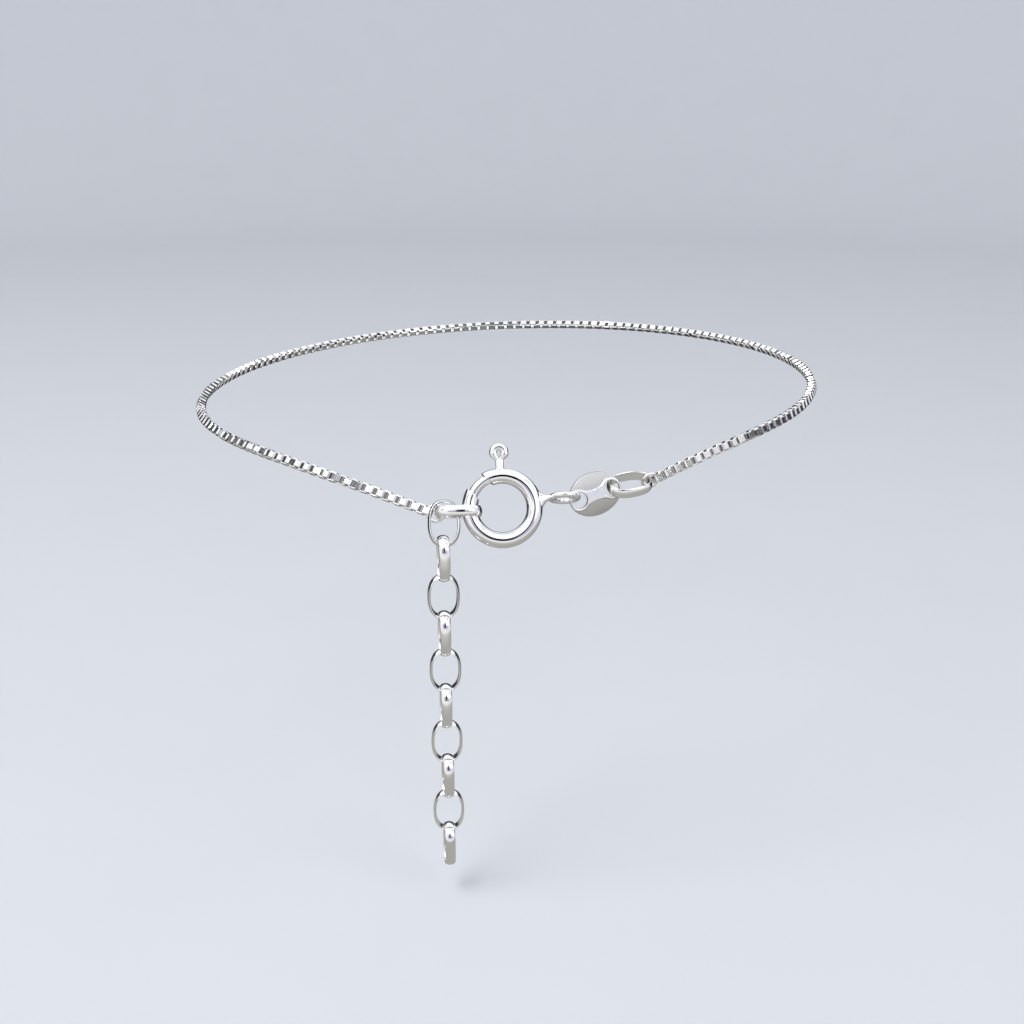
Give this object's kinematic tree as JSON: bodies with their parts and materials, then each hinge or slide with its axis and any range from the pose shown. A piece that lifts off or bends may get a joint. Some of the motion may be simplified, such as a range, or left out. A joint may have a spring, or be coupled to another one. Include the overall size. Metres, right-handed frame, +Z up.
{
  "type": "chain anklet",
  "caption": "Silver box chain anklet worn as a loop, with a bolt ring clasp, an oval tag, a tie link and a hanging extension chain of oval links.",
  "frame": {"origin": "middle of the loop that goes round the ankle, at the mean height of the chain", "axes": "+Z up the limb, -Y to the front where the clasp sits, +X to the right as seen from the front"},
  "size_m": [0.0659, 0.0705, 0.0392],
  "materials": {
    "chain_silver": "polished silver",
    "clasp_silver": "polished silver",
    "link_silver": "polished silver",
    "tag_silver": "satin silver"
  },
  "bodies": {
    "root": {"box_chain": "chain_silver", "clasp_body": "clasp_silver", "extension_link_01": "link_silver", "extension_link_02": "link_silver", "extension_link_03": "link_silver", "extension_link_04": "link_silver", "extension_link_05": "link_silver", "extension_link_06": "link_silver", "extension_link_07": "link_silver", "extension_link_08": "link_silver", "extension_link_09": "link_silver", "extension_link_10": "link_silver", "extension_link_11": "link_silver", "tie_link": "link_silver", "chain_end_ring_left": "link_silver", "chain_end_ring_right": "link_silver", "oval_tag": "tag_silver"},
    "bolt": {"clasp_bolt": "clasp_silver"}
  },
  "joints": [
    {"name": "bolt_slide", "type": "hinge", "parent": "root", "child": "bolt", "pos_m": [-0.00084, -0.03419, -0.003], "axis": [-0.0632, 0.9041, -0.4226], "range_deg": [0, 50], "stiffness_Nm_per_rad": 0.0025}
  ]
}
